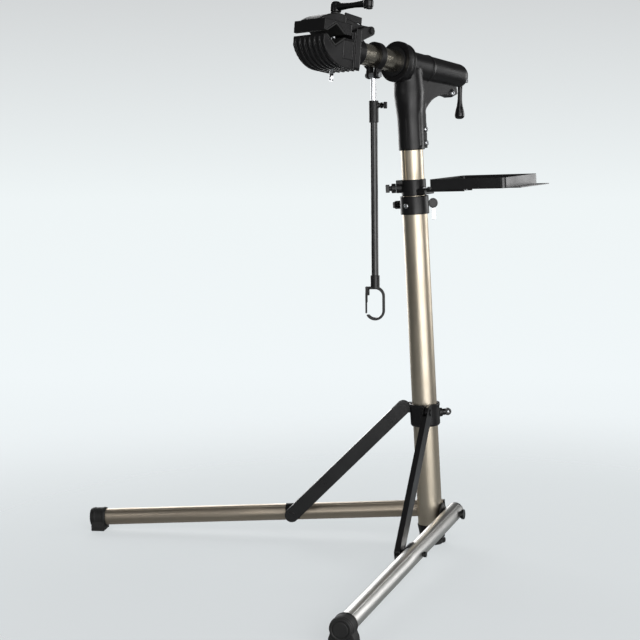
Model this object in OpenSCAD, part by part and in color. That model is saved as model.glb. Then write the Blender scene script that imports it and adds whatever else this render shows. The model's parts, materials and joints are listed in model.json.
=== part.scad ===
// Folding repair stand: a leaning telescopic mast on a foot, two folding legs with struts,
// a turning clamp arm with quick-closing jaws, a tool tray and a telescopic holder rod.
// The origin is the middle of the mast foot on the floor, +X points between the legs, +Z is up.

/* [Mast] */
// Outer diameter of the lower tube
lower_d = 50; // [46:1:60]
// Wall of the lower tube
lower_wall = 1.6; // [1.2:0.1:2.2]
// Height of the lower tube's bottom edge above the foot, along the mast
lower_start = 42; // [38:1:46]
// Height of the top collar's lower edge, along the mast
top_collar_h = 676; // [674:1:760]
// Height of the arm axis, along the mast
arm_h = 971; // [950:1:1200]
// Wall of the upper tube
upper_wall = 2; // [1.6:0.1:2.6]

/* [Legs] */
// Length from the mast axis to the end of the foot cap
leg_reach = 723; // [640:1:870]
// Outer diameter of the leg tubes
leg_d = 34; // [28:1:36]
// Half of the angle between the two legs
leg_spread = 38.7; // [34:0.1:44]
// Height of the leg pivots, along the mast
leg_h = 62; // [58:1:70]
// Height of the leg axis above the floor at the foot cap
foot_axis_h = 25.5; // [24:0.5:30]
// Angle the legs fold up through
leg_fold = 73; // [60:1:73]
// Distance from the leg pivot to the strut bolt, along the leg
strut_foot_at = 288; // [260:1:288]
// Height of the strut pins on the brace collar, along the mast
strut_pin_h = 281; // [276:1:286]

/* [Arm and jaws] */
// Angle the head points away from the middle of the legs
head_yaw = 12.7; // [0:0.1:20]
// Angle the arm rises from square to the mast
arm_tilt = 10; // [6:0.5:14]
// Outer diameter of the arm tube
arm_d = 42; // [35:1:44]
// Distance from the mast axis to the front of the jaws
jaw_front = 275; // [270:1:284]
// Width of the jaws
jaw_w = 82; // [76:1:96]
// Opening between the jaws as drawn
jaw_gap = 6; // [6:0.5:9]

/* [Tray] */
// Length of the tray pan
tray_l = 169; // [150:1:190]
// Width of the tray pan
tray_w = 125; // [110:1:126]
// Depth of the tray pan
tray_depth = 20; // [16:1:22]
// Direction of the tray, from the middle of the legs
tray_az = 110; // [100:1:160]

/* [Holder rod] */
// Diameter of the inner rod
rod_d = 10.4; // [9:0.1:11]
// Length from the swing bolt to the end of the black outer tube
rod_l = 400; // [380:1:440]

/* [Hidden] */
$fn = 64;
running = 0.08;      // radial clearance of a turning or sliding fit
seat = 0.05;         // radial clearance of a fixed fit
air = 0.5;           // gap between flat faces of moving pieces

lower_r = lower_d / 2;
lower_bore = lower_r - lower_wall;
liner_wall = 1.3;
upper_r = lower_bore - liner_wall - running;

// Base
lug_t = 3.2;
lug_r = 23;
leg_r = leg_d / 2;
leg_wall = 1.6;
leg_bolt_r = 4;
leg_tail = 26;
leg_off = lower_r + air + lug_t + air + leg_r;
// The legs are square to the mast, so the mast leans forward until their feet reach the floor
lean = asin((leg_h - foot_axis_h) / (leg_reach * cos(leg_spread) - leg_off * sin(leg_spread)));
spigot_top = 104;
foot_r = lower_r - 3;
heel_r = 13;
heel_at = 20;
pad_t = 8;

// Top collar and its quick-release clamp
collar_wall = 3.6;
top_collar_l = 36;
top_clamp_az = -126;
skewer_at = lower_r + 10;
skewer_h = top_collar_h + 18;
skewer_r = 3;
block_half = 27;
split = 6;
key_az = 19;
key_h = top_collar_h + 18;

// Brace collar
brace_collar_r = lower_r + 5;
brace_collar_low = strut_pin_h - 34;
brace_collar_top = strut_pin_h + 11.5;
strut_pin_x = lower_r + 20;
strut_y = 18;
strut_w = 11;
strut_depth = 29;
strut_sheet = 1.6;
strut_ear_t = 6;
strut_pin_r = 4;
strut_rest_drop = strut_pin_h - leg_h;
strut_l = sqrt(pow(strut_foot_at - strut_pin_x, 2) + pow(strut_rest_drop, 2));
strut_angle = atan2(strut_rest_drop, strut_foot_at - strut_pin_x);
collar_knob_az = 160;
collar_knob_h = strut_pin_h - 11;

// Upper mast and head
upper_tail = 132;
head_low = arm_h - 168;
head_bore_top = arm_h - 46;
socket_r = upper_r + 4;
arm_r = arm_d / 2;
flange_front = 38;
flange_r = arm_r + 19;
sleeve_r = arm_r + 6.5;
sleeve_tail_r = arm_r + 3.5;
sleeve_tail = -148;
arm_tail = -120;
bushing_wall = 2.2;
head_bolt_h = [head_low + 12, head_low + 39];
lever_pin = [-162, -9];
lever_lean = 6;

// Tray
tray_clamp_low = top_collar_h + top_collar_l + 1;
tray_clamp_l = 32;
tray_clamp_wall = 2.8;
tray_start = 78;
tray_floor_h = tray_clamp_low + 14;
tray_sheet = 1.6;
tray_lip = 30;
lug_screw_x = upper_r + 9;
tray_knob_az = -36;
tray_knob_h = tray_clamp_low + 16;

// Jaws, in the arm's own frame: x along the arm, y across it, z square to both
gap_z = 15;
jaw_half = jaw_w / 2;
jaw_rear = 176;
neck_rear = 143;
block_front = 201;
jaw_bottom = -43;
jaw_groove = 4.5;
notch_x = jaw_front - 30;
notch_half = 22;
notch_depth = 18;
pad_wall = 4.5;
screw_x = 209;
screw_r = 4;
hinge_x = 128;
hinge_z = arm_r + 21;
recess_z = arm_r + 1.5;   // floor of the hollow that the upper jaw's beam swings in
beam_low = arm_r + 6;
hinge_pin_r = 4;
knuckle_r = 9;
ear_in = 14;
ear_t = 6;
hump_top = hinge_z + 17;
hump_x = 215;
hump_r = 104;
belly_x = 215;
belly_r = 66;
arm_end = 190;
jaw_split = block_front + 2.5;
crank_z = hump_top + 5.7;
crank_reach = 84;

// Holder rod, in its own frame: hangs along -z from the swing bolt
ring_x = 88;
ring_w = 14;
ring_r = arm_r + 7;
ring_ear_in = 6.5;
ring_ear_t = 7.5;
swing_z = -arm_r - 15;
rod_hang = arm_tilt - asin(sin(lean) * cos(head_yaw));
rod_r = rod_d / 2;
rod_inner_l = 326;
sleeve_top = -48.5;
sleeve_l = 42;
rod_sleeve_r = 9.2;
rod_outer_r = 7;
rod_screw_az = 125;
holder_turn = -49;
loop_r = 19;
loop_in = 14;
loop_mid = 14;
loop_w = 16;
strap_x = loop_r - 4;
strap_z = -loop_r - 2;

// Frames

module mast() rotate([0, lean, 0]) children();

// The left leg's frame, mirrored for the right one: x along the leg, y outwards
module leg(side) mast() mirror([0, side < 0 ? 1 : 0, 0]) rotate([0, 0, leg_spread]) children();

module arm() mast() translate([0, 0, arm_h]) rotate([0, 0, head_yaw]) rotate([0, -arm_tilt, 0]) children();

module rod() arm() translate([ring_x + ring_w / 2, 0, swing_z]) rotate([0, rod_hang, 0]) children();

// The quick release of the top collar: x outwards from the mast, y towards the knob
module top_clamp() mast() rotate([0, 0, top_clamp_az]) translate([skewer_at, 0, skewer_h]) children();

module above_floor() intersection() {
    children();
    translate([-1500, -1500, 0]) cube(3000);
}

// Shapes

module along_x(r, l, r2 = -1) rotate([0, 90, 0]) cylinder(r1 = r, r2 = r2 < 0 ? r : r2, h = l);

module along_y(r, y1, y2) translate([0, y2, 0]) rotate([90, 0, 0]) cylinder(r = r, h = y2 - y1);

module ring(r_out, r_in, l) difference() {
    cylinder(r = r_out, h = l);
    translate([0, 0, -1]) cylinder(r = r_in, h = l + 2);
}

module centred(x, y, z) translate([-x / 2, -y / 2, 0]) cube([x, y, z]);

// A flat outline drawn in x and z, extruded across from y1 to y2
module plate_y(y1, y2) translate([0, y2, 0]) rotate([90, 0, 0]) linear_extrude(y2 - y1) children();

// Base

module base_casting() color([0.09, 0.09, 0.1]) {
    mast() difference() {
        union() {
            translate([0, 0, pad_t + 3]) cylinder(r1 = foot_r, r2 = lower_r + 1.5, h = lower_start - pad_t - 3);
            translate([0, 0, lower_start]) cylinder(r = lower_bore - seat, h = spigot_top - lower_start);
            for (m = [0, 1]) mirror([0, m, 0]) rotate([0, 0, leg_spread]) {
                plate_y(lower_r + air, lower_r + air + lug_t) {
                    translate([0, leg_h]) circle(r = lug_r);
                    translate([1 - lug_r, 20]) square([2 * lug_r - 2, leg_h - 20]);
                }
                translate([-20, 0, 20]) cube([40, lower_r + air + lug_t, lower_start - 21]);
            }
            translate([-heel_at, 0, pad_t + 2]) cylinder(r = heel_r - 1, h = 14);
        }
        for (m = [0, 1]) mirror([0, m, 0]) rotate([0, 0, leg_spread])
            translate([0, 0, leg_h]) along_y(leg_bolt_r + seat, 8, 40);
        translate([0, 0, lower_start]) ring(lower_r + air / 2, lower_bore - seat, 90);
        rotate([0, -lean, 0]) translate([-50, -50, -10]) cube([100, 100, pad_t + 10]);
    }
}

module mast_foot_pad() color([0.06, 0.06, 0.06]) {
    cylinder(r = foot_r, h = pad_t);
    translate([-heel_at, 0, 0]) cylinder(r = heel_r, h = pad_t);
}

module leg_pivot_bolts() color("silver") for (side = [-1, 1]) leg(side) translate([0, 0, leg_h]) {
    along_y(leg_bolt_r, 8.5, leg_off + leg_r + 2);
    along_y(7.5, leg_off + leg_r + air, leg_off + leg_r + 5);
    along_y(10, leg_off + leg_r + 3.5, leg_off + leg_r + 9);
}

module lower_tube() color([0.66, 0.62, 0.56]) mast() difference() {
    translate([0, 0, lower_start]) ring(lower_r, lower_bore, top_collar_h + top_collar_l - 4 - lower_start);
    for (m = [0, 1]) mirror([0, m, 0]) rotate([0, 0, leg_spread])
        translate([0, 0, leg_h]) along_y(leg_bolt_r + seat, 8, 40);
    rotate([0, 0, key_az]) translate([lower_bore - 3, 0, key_h]) along_x(2.5 + seat, 10);
}

module top_collar() color([0.09, 0.09, 0.1]) mast() difference() {
    union() {
        translate([0, 0, top_collar_h]) cylinder(r = lower_r + collar_wall, h = top_collar_l);
        rotate([0, 0, top_clamp_az]) translate([lower_r - 4, -block_half, skewer_h - 11])
            cube([skewer_at - lower_r + 11, 2 * block_half, 22]);
    }
    translate([0, 0, top_collar_h - 1]) cylinder(r = lower_r + seat, h = top_collar_l - 3);
    translate([0, 0, top_collar_h]) cylinder(r = upper_r + 0.4, h = top_collar_l + 1);
    rotate([0, 0, top_clamp_az]) {
        translate([lower_r - 8, -split / 2, top_collar_h - 1]) cube([40, split, top_collar_l + 2]);
        translate([skewer_at, 0, skewer_h]) along_y(skewer_r + seat, -40, 40);
    }
    rotate([0, 0, key_az]) translate([lower_r - 3, 0, key_h]) along_x(2.5 + seat, 10);
}

module top_collar_liner() color([0.15, 0.15, 0.16]) mast() difference() {
    translate([0, 0, top_collar_h - 20]) ring(lower_bore - seat, upper_r + running, top_collar_l + 15);
    rotate([0, 0, key_az]) translate([upper_r - 3, 0, key_h]) along_x(2.5 + seat, 10);
}

module top_skewer() color("silver") top_clamp() along_y(skewer_r, -block_half - 8, block_half + 10);

module skewer_knob() color([0.07, 0.07, 0.08]) top_clamp() difference() {
    union() {
        along_y(8, block_half + air, block_half + 14);
        along_y(6, block_half + 13, block_half + 17);
    }
    along_y(skewer_r + seat, 0, block_half + 10 + seat);
}

module key_screw() color("silver") mast() rotate([0, 0, key_az]) translate([0, 0, key_h]) {
    translate([upper_r - 0.5, 0, 0]) along_x(2, lower_r - upper_r);
    translate([lower_bore + 0.2, 0, 0]) along_x(2.5, 6);
    translate([lower_r + collar_wall, 0, 0]) along_x(4.5, 2.5);
}

// The cam of the quick release turns about an axle that points outwards
module top_lever() color([0.8, 0.8, 0.82]) top_clamp() translate([0, -block_half - air - 9.5, 0])
    difference() {
        union() {
            translate([-8, 0, 0]) along_x(9, 16);
            for (x = [-7, 4]) translate([x, -4, -28]) cube([3, 7, 28]);
            translate([-7, -4, -33]) cube([14, 7, 6]);
        }
        along_y(skewer_r + 0.6, -0.5, 20);
        translate([-3.8, -3.5, -9.5]) cube([7.6, 15.5, 19]);
    }

// Brace collar

module brace_collar() color([0.09, 0.09, 0.1]) mast() difference() {
    union() {
        translate([0, 0, brace_collar_low]) {
            cylinder(r1 = brace_collar_r - 2, r2 = brace_collar_r, h = 3);
            translate([0, 0, 3]) cylinder(r = brace_collar_r, h = brace_collar_top - brace_collar_low - 9);
            translate([0, 0, brace_collar_top - brace_collar_low - 6]) cylinder(r = brace_collar_r + 0.8, h = 6);
        }
        for (m = [0, 1]) mirror([0, m, 0]) rotate([0, 0, leg_spread])
            translate([0, strut_y, strut_pin_h]) {
                translate([strut_pin_x, 0, 0]) along_y(11, -strut_ear_t / 2, strut_ear_t / 2);
                translate([12, -strut_ear_t / 2, -11]) cube([strut_pin_x - 12, strut_ear_t, 22]);
            }
        rotate([0, 0, collar_knob_az]) translate([lower_r, 0, collar_knob_h]) along_x(9, 11);
    }
    translate([0, 0, brace_collar_low - 1]) cylinder(r = lower_r + running, h = 60);
    for (m = [0, 1]) mirror([0, m, 0]) rotate([0, 0, leg_spread])
        translate([strut_pin_x, strut_y, strut_pin_h]) along_y(strut_pin_r + seat, -9, 9);
    rotate([0, 0, collar_knob_az]) translate([lower_r - 2, 0, collar_knob_h]) along_x(4 + running, 20);
}

module strut_pins() color("silver") for (side = [-1, 1])
    leg(side) translate([strut_pin_x, strut_y, strut_pin_h]) {
        along_y(strut_pin_r, -strut_w / 2 - 2, strut_w / 2 + 2);
        for (s = [-1, 1]) translate([0, s * (strut_w / 2 + air + 0.9), 0]) along_y(6.5, -0.9, 0.9);
    }

module collar_knob() color([0.07, 0.07, 0.08]) mast() rotate([0, 0, collar_knob_az])
    translate([0, 0, collar_knob_h]) difference() {
        union() {
            translate([lower_r + 0.4, 0, 0]) along_x(4, 16);
            translate([lower_r + 11.5, 0, 0]) along_x(6.5, 6);
            translate([lower_r + 22.5, 0, 0]) along_y(7.5, -3.2, 3.2);
            translate([lower_r + 14, -3.2, -4]) cube([6, 6.4, 8]);
        }
        translate([lower_r + 24, 0, 0]) along_y(2.4, -5, 5);
    }

// Legs

module leg_tube(side) color([0.68, 0.65, 0.6]) leg(side) translate([0, leg_off, leg_h]) difference() {
    translate([-leg_tail, 0, 0]) along_x(leg_r, leg_reach + leg_tail - 6);
    translate([-leg_tail - 1, 0, 0]) along_x(leg_r - leg_wall, leg_reach + leg_tail);
    along_y(leg_bolt_r + 0.3, -40, 40);
    translate([strut_foot_at, 0, 0]) along_y(3 + seat, -40, 40);
    for (a = [-35, 35]) rotate([a, 0, 0]) translate([-leg_tail - 1, 0, leg_r + 0.6]) along_x(1.5, leg_reach + 40);
}

module leg_plug(side) color([0.08, 0.08, 0.09]) leg(side) translate([0, leg_off, leg_h]) difference() {
    union() {
        translate([-leg_tail, 0, 0]) along_x(leg_r - leg_wall - seat, leg_tail + 16);
        translate([-leg_tail - 3, 0, 0]) along_x(leg_r, 3);
    }
    along_y(leg_bolt_r + running, -40, 40);
}

module foot_cap(side) color([0.06, 0.06, 0.06]) above_floor() leg(side)
    translate([0, leg_off, leg_h]) difference() {
        union() {
            translate([leg_reach - 33, 0, 0]) along_x(leg_r + 3, 30);
            translate([leg_reach - 3, 0, 0]) along_x(leg_r + 1.4, 3);
            translate([leg_reach - 30, 0, 0]) rotate([90, 0, 90]) linear_extrude(27)
                polygon([[-leg_r - 8, -40], [leg_r + 8, -40], [leg_r + 5.5, -16], [leg_r + 1, -4],
                    [-leg_r - 1, -4], [-leg_r - 5.5, -16]]);
        }
        translate([leg_reach - 40, 0, 0]) along_x(leg_r + seat, 34);
        translate([leg_reach - 1.5, 0, 0]) rotate([0, 90, 0]) ring(leg_r - 2, leg_r - 4, 3);
    }

module strut_saddle(side) color([0.08, 0.08, 0.09]) leg(side) translate([strut_foot_at, leg_off, leg_h]) {
    difference() {
        union() {
            translate([-15, 0, 0]) along_x(leg_r + 2.2, 30);
            along_y(8, -leg_off + strut_y + strut_w / 2 + air, -leg_r);
        }
        translate([-20, 0, 0]) along_x(leg_r + seat, 40);
        translate([-20, -2, -45]) cube([40, 50, 90]);
        translate([-20, -40, -45]) cube([40, 80, 33]);
        along_y(3 + seat, -40, 40);
    }
}

module strut_bolt(side) color([0.1, 0.1, 0.1]) leg(side) translate([strut_foot_at, leg_off, leg_h]) {
    along_y(3, -leg_off + strut_y + strut_w / 2 + air, leg_r + 4);
    along_y(4.2, leg_r + seat, leg_r + 6);
    along_y(5.5, leg_r + 3, leg_r + 8);
}

// A strut's frame: x runs down it from the collar pin
module strut_frame(side) leg(side) translate([strut_pin_x, strut_y, strut_pin_h]) rotate([0, strut_angle, 0]) children();

module strut(side) color([0.07, 0.07, 0.08]) strut_frame(side) difference() {
    union() {
        translate([0, -strut_w / 2, -strut_depth / 2]) cube([strut_l, strut_w, strut_depth]);
        for (x = [0, strut_l]) translate([x, 0, 0]) along_y(strut_depth / 2, -strut_w / 2, strut_w / 2);
    }
    translate([-30, -strut_w / 2 + strut_sheet, -strut_depth]) cube([strut_l + 60, strut_w - 2 * strut_sheet,
        strut_depth * 1.5 - strut_sheet]);
    translate([-30, -strut_w / 2 + strut_sheet, 0]) cube([50, strut_w - 2 * strut_sheet, strut_depth]);
    along_y(strut_pin_r + running, -20, 20);
    translate([strut_l, 0, 0]) along_y(strut_pin_r + seat, -20, 20);
}

module strut_rivet(side) color("silver") strut_frame(side) translate([strut_l, 0, 0]) {
    along_y(strut_pin_r, -strut_w / 2 - 1.5, strut_w / 2 - 0.1);
    along_y(7, -strut_w / 2 - 2.5, -strut_w / 2);
    along_y(6, -strut_w / 2 + strut_sheet, strut_w / 2 - strut_sheet);
}

// Upper mast

module upper_tube() color([0.7, 0.66, 0.6]) mast() difference() {
    translate([0, 0, upper_tail]) ring(upper_r, upper_r - upper_wall, head_bore_top - 2 - upper_tail);
    rotate([0, 0, key_az]) translate([upper_r - 1, -2.6, upper_tail - 1]) cube([3, 5.2, 800]);
}

module upper_tube_glide() color([0.12, 0.12, 0.13]) mast() {
    translate([0, 0, upper_tail - 14]) ring(lower_bore - running, upper_r - upper_wall - 4, 14);
    translate([0, 0, upper_tail - 1]) ring(upper_r - upper_wall - 2 * seat, upper_r - upper_wall - 4, 21);
}

module head_casting() color([0.09, 0.09, 0.1]) difference() {
    union() {
        mast() translate([0, 0, head_low]) {
            cylinder(r = socket_r, h = 62);
            translate([0, 0, 62]) cylinder(r1 = socket_r, r2 = socket_r + 5, h = 50);
            translate([0, 0, 112]) cylinder(r1 = socket_r + 5, r2 = socket_r + 1, h = 46);
            rotate([0, 0, head_yaw]) translate([-socket_r - 10, -11, 2]) cube([20, 22, 88]);
        }
        arm() {
            translate([sleeve_tail, 0, 0]) along_x(sleeve_tail_r, 20 - sleeve_tail, sleeve_r);
            translate([sleeve_tail, 0, 0]) sphere(r = sleeve_tail_r);
            translate([14, 0, 0]) along_x(flange_r - 2, 8);
            translate([20, 0, 0]) along_x(flange_r - 5, 8);
            translate([26, 0, 0]) along_x(flange_r, flange_front - 26);
            plate_y(-10, 10) difference() {
                polygon([[-138, -10], [0, -10], [10, -95], [-26, -98], [-146, -38]]);
                translate([-112, -112]) circle(r = 66);
            }
        }
    }
    mast() {
        translate([0, 0, head_low - 1]) cylinder(r = upper_r + seat, h = head_bore_top - head_low + 1);
        rotate([0, 0, head_yaw]) {
            translate([-socket_r - 14, -1.5, head_low - 1]) cube([30, 3, 80]);
            for (h = head_bolt_h) translate([-socket_r - 4, 0, h]) along_y(3 + seat, -20, 20);
        }
    }
    arm() {
        translate([arm_tail - 4, 0, 0]) along_x(arm_r + 1 + seat, 126);
        along_x(arm_r + bushing_wall + seat, 60);
        translate([-190, -5.6, -60]) cube([46, 11.2, 61]);
        translate([lever_pin[0], 0, lever_pin[1]]) along_y(2.5 + seat, -40, 40);
    }
}

module head_clamp_bolts() color("silver") mast() rotate([0, 0, head_yaw]) for (h = head_bolt_h)
    translate([-socket_r - 4, 0, h]) {
        along_y(3, -12, 12);
        along_y(5, 11, 14.5);
        along_y(5, -15, -11);
    }

module arm_bushing_front() color([0.13, 0.13, 0.14]) arm() rotate([0, 90, 0]) {
    ring(arm_r + bushing_wall, arm_r + running, flange_front);
    translate([0, 0, flange_front]) ring(arm_r + 8, arm_r + running, 3);
}

module arm_bushing_rear() color([0.13, 0.13, 0.14]) arm() translate([arm_tail + 2, 0, 0]) rotate([0, 90, 0])
    ring(arm_r + 1, arm_r + running, 26);

module head_lever_pin() color("silver") arm() translate([lever_pin[0], 0, lever_pin[1]])
    along_y(2.5, -18, 18);

// The clamp lever hangs almost parallel to the mast
module head_lever() color([0.07, 0.07, 0.08]) arm() translate([lever_pin[0], 0, lever_pin[1]])
    rotate([0, arm_tilt - lever_lean, 0]) difference() {
        union() {
            along_y(7.5, -5.1, 5.1);
            translate([-5, -5.1, -42]) cube([10, 10.2, 40]);
            translate([0, 0, -68]) cylinder(r1 = 9, r2 = 5.2, h = 32);
            translate([0, 0, -74]) cylinder(r1 = 10.5, r2 = 9, h = 6);
        }
        along_y(2.5 + running, -20, 20);
    }

// Tray

module tray_clamp() color([0.09, 0.09, 0.1]) mast() difference() {
    union() {
        translate([0, 0, tray_clamp_low]) cylinder(r = upper_r + tray_clamp_wall, h = tray_clamp_l);
        rotate([0, 0, tray_knob_az]) {
            translate([upper_r - 1, 0, tray_knob_h]) along_x(10, 14);
            translate([upper_r + 0.6, 4, tray_clamp_low + 24]) cube([12, 11, 8]);
        }
        rotate([0, 0, tray_az]) translate([upper_r - 10, -17, tray_clamp_low + 2]) cube([25, 34, 10]);
    }
    translate([0, 0, tray_clamp_low - 1]) cylinder(r = upper_r + running, h = 60);
    rotate([0, 0, tray_knob_az]) translate([upper_r - 3, 0, tray_knob_h]) along_x(3 + running, 30);
    for (y = [-9, 9]) tray_screw_place(lug_screw_x, y) translate([0, 0, -20]) cylinder(r = 2 + seat, h = 40);
}

module tray_screw_place(x, y) rotate([0, 0, tray_az]) translate([x, y, tray_floor_h]) children();

// A pressed plate from the clamp's lug to the underside of the pan
module tray_bracket() color([0.1, 0.1, 0.1]) mast() difference() {
    rotate([0, 0, tray_az]) translate([18, -15, tray_floor_h - 2]) {
        cube([tray_start + 54, 30, 2]);
        for (y = [0, 28]) translate([22, y, -5]) cube([tray_start + 10, 2, 5]);
    }
    cylinder(r = upper_r + tray_clamp_wall + seat, h = 1000);
    for (x = [lug_screw_x, tray_start + 40], y = [-9, 9]) tray_screw_place(x, y)
        translate([0, 0, -20]) cylinder(r = 2 + seat, h = 40);
}

module pan_outline(inset) translate([inset, inset - tray_w / 2])
    round_rect(tray_l - 2 * inset, tray_w - 2 * inset, 8 - inset);

module round_rect(x, y, r) {
    translate([r, 0]) square([x - 2 * r, y]);
    translate([0, r]) square([x, y - 2 * r]);
    for (cx = [r, x - r], cy = [r, y - r]) translate([cx, cy]) circle(r = r);
}

module tray_pan() color([0.07, 0.07, 0.08]) mast() difference() {
    rotate([0, 0, tray_az]) translate([tray_start, 0, tray_floor_h]) difference() {
        union() {
            linear_extrude(tray_depth) pan_outline(0);
            translate([tray_l - 10, -tray_w / 2 + 10, 0]) cube([tray_lip + 10, tray_w - 20, tray_sheet]);
        }
        translate([0, 0, tray_sheet]) linear_extrude(tray_depth) pan_outline(tray_sheet);
    }
    for (y = [-9, 9]) tray_screw_place(tray_start + 40, y) translate([0, 0, -9]) cylinder(r = 2 + seat, h = 20);
}

module tray_screws() color("silver") mast() {
    for (y = [-9, 9]) {
        tray_screw_place(lug_screw_x, y) {
            translate([0, 0, -9]) cylinder(r = 2, h = 9.5);
            cylinder(r = 3.6, h = 2);
        }
        tray_screw_place(tray_start + 40, y) {
            translate([0, 0, -5]) cylinder(r = 2, h = 7);
            translate([0, 0, tray_sheet]) cylinder(r = 3.6, h = 2);
            translate([0, 0, -5]) cylinder(r = 3.4, h = 3);
        }
    }
}

module tray_knob() color([0.07, 0.07, 0.08]) mast() rotate([0, 0, tray_knob_az])
    translate([0, 0, tray_knob_h]) {
        translate([upper_r + 0.4, 0, 0]) along_x(3, 30);
        translate([upper_r + 13 + air, 0, 0]) along_x(9.5, 9);
        translate([upper_r + 22, 0, 0]) along_x(5, 5);
        translate([upper_r + 26, -2.5, -7]) cube([8, 5, 14]);
    }

// Arm and lower jaw

module arm_tube() color([0.74, 0.74, 0.75]) arm() difference() {
    translate([arm_tail, 0, 0]) along_x(arm_r, arm_end - arm_tail);
    translate([arm_tail - 1, 0, 0]) along_x(arm_r - 2, arm_end - arm_tail + 2);
    for (x = [153, 167]) translate([x, 0, -arm_r - 4]) cylinder(r = 2.5 + seat, h = 12);
}

module arm_end_cap() color([0.12, 0.12, 0.13]) arm() translate([arm_tail - 3, 0, 0]) {
    along_x(arm_r - 0.5, 3);
    along_x(arm_r - 2 - seat, 14);
}

// Outline of the lower jaw in x and z: a flat rear, then a belly that rises to the front lip
module lower_outline(grow) intersection() {
    polygon([[jaw_rear, jaw_bottom - grow], [jaw_front + 20, jaw_bottom - grow],
        [jaw_front, gap_z - jaw_gap / 2], [jaw_rear, gap_z - jaw_gap / 2]]);
    union() {
        translate([jaw_rear, jaw_bottom - grow]) square([belly_x - jaw_rear, 80]);
        translate([belly_x, jaw_bottom + belly_r]) circle(r = belly_r + grow);
    }
    translate([jaw_rear, -80]) square([jaw_front - jaw_rear, 140]);
}

// Outline of the notch: a right-angled vee, up or down from the gap
module notch(dir, half, depth) translate([notch_x, gap_z]) scale([1, dir])
    polygon([[-half, jaw_gap / 2 - 0.01], [0, depth], [half, jaw_gap / 2 - 0.01], [half, -1], [-half, -1]]);

module lower_jaw() color([0.08, 0.08, 0.09]) arm() difference() {
    union() {
        translate([neck_rear, 0, 0]) along_x(arm_r + 5.5, jaw_rear - neck_rear + 4);
        plate_y(-jaw_half, jaw_half) lower_outline(-jaw_groove);
        for (i = [0 : 6]) let (y = -jaw_half + i * (jaw_w - 5) / 6) plate_y(y, y + 5) lower_outline(0);
        translate([jaw_rear, -jaw_half, jaw_bottom + jaw_groove])
            cube([block_front - jaw_rear, jaw_w, beam_low - jaw_bottom - jaw_groove]);
        for (s = [-1, 1]) plate_y(s > 0 ? ear_in : -ear_in - ear_t, s > 0 ? ear_in + ear_t : -ear_in) {
            translate([hinge_x, hinge_z]) circle(r = knuckle_r);
            polygon([[hinge_x - 4, hinge_z - 8], [hinge_x, hinge_z + 9], [hinge_x + 20, hinge_z + 5],
                [jaw_rear + 14, beam_low - 1], [jaw_rear + 2, 10], [neck_rear + 8, arm_r - 1]]);
        }
    }
    translate([neck_rear - 1, 0, 0]) along_x(arm_r + seat, arm_end - neck_rear + 1);
    plate_y(-jaw_half - 1, jaw_half + 1) notch(-1, notch_half + pad_wall * 1.3, notch_depth + pad_wall);
    translate([screw_x, 0, -60]) cylinder(r = screw_r + running, h = 90);
    translate([hinge_x, 0, hinge_z]) along_y(hinge_pin_r + seat, -30, 30);
    plate_y(-ear_in, ear_in) polygon([[hinge_x - 20, recess_z], [jaw_rear, recess_z], [block_front + 1, recess_z],
        [block_front + 1, 80], [hinge_x - 20, 80]]);
    for (x = [153, 167]) translate([x, 0, -arm_r - 8]) cylinder(r = 2.5 + seat, h = 12);
}

// Rubber lining of a notch
module notch_lining(dir) arm() plate_y(-jaw_half + 1.5, jaw_half - 1.5) intersection() {
    difference() {
        notch(dir, notch_half + pad_wall * 1.3, notch_depth + pad_wall);
        notch(dir, notch_half, notch_depth);
    }
    translate([notch_x - 60, dir > 0 ? gap_z + jaw_gap / 2 : gap_z - jaw_gap / 2 - 60]) square([120, 60]);
}

module lower_jaw_pad() color([0.16, 0.16, 0.17]) notch_lining(-1);

module jaw_bolts() color("silver") arm() for (x = [153, 167]) translate([x, 0, -arm_r - 5.5]) {
    translate([0, 0, -1]) cylinder(r = 2.5, h = 8);
    translate([0, 0, -3]) cylinder(r = 4.2, h = 3);
}

module jaw_hinge_pin() color("silver") arm() translate([hinge_x, 0, hinge_z]) {
    along_y(hinge_pin_r, -ear_in - ear_t - 1, ear_in + ear_t + 1);
    for (s = [-1, 1]) translate([0, s * (ear_in + ear_t + 1), 0]) along_y(5.5, -1, 1);
}

// Upper jaw

module upper_outline() intersection() {
    translate([hump_x, hump_top - hump_r]) circle(r = hump_r);
    polygon([[hinge_x, hinge_z - 8], [jaw_split, gap_z + jaw_gap / 2], [jaw_front, gap_z + jaw_gap / 2],
        [jaw_front, hump_top + 5], [hinge_x, hump_top + 5]]);
}

module upper_jaw() color([0.08, 0.08, 0.09]) arm() difference() {
    union() {
        plate_y(-ear_in + air, ear_in - air) {
            difference() {
                upper_outline();
                polygon([[hinge_x - 10, 0], [jaw_split, 0], [jaw_split, beam_low], [hinge_x + 10, beam_low + 4]]);
            }
            polygon([[hinge_x, hinge_z - 8], [hinge_x - 1, hinge_z + knuckle_r - 0.2], [hinge_x + 26, hinge_z + 8],
                [jaw_rear + 12, hump_top - 5], [jaw_rear + 12, beam_low + 1], [jaw_rear - 10, beam_low + 1]]);
        }
        translate([hinge_x, 0, hinge_z]) along_y(knuckle_r, -ear_in + air, ear_in - air);
        plate_y(-24, 24) intersection() {
            upper_outline();
            translate([jaw_split, 0]) square([100, 100]);
        }
        plate_y(-jaw_half, jaw_half) intersection() {
            upper_outline();
            translate([jaw_split, 0]) square([100, gap_z + 25]);
        }
    }
    plate_y(-jaw_half - 1, jaw_half + 1) notch(1, notch_half + pad_wall * 1.3, notch_depth + pad_wall);
    for (dx = [-9 : 3 : 9]) translate([screw_x + dx, 0, 0]) cylinder(r = screw_r + 0.8, h = 90);
    translate([screw_x - 9, -screw_r - 0.8, 0]) cube([18, 2 * screw_r + 1.6, 90]);
    translate([hinge_x, 0, hinge_z]) along_y(hinge_pin_r + running, -30, 30);
}

module upper_jaw_pad() color([0.16, 0.16, 0.17]) notch_lining(1);

// Clamp screw and crank

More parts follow.
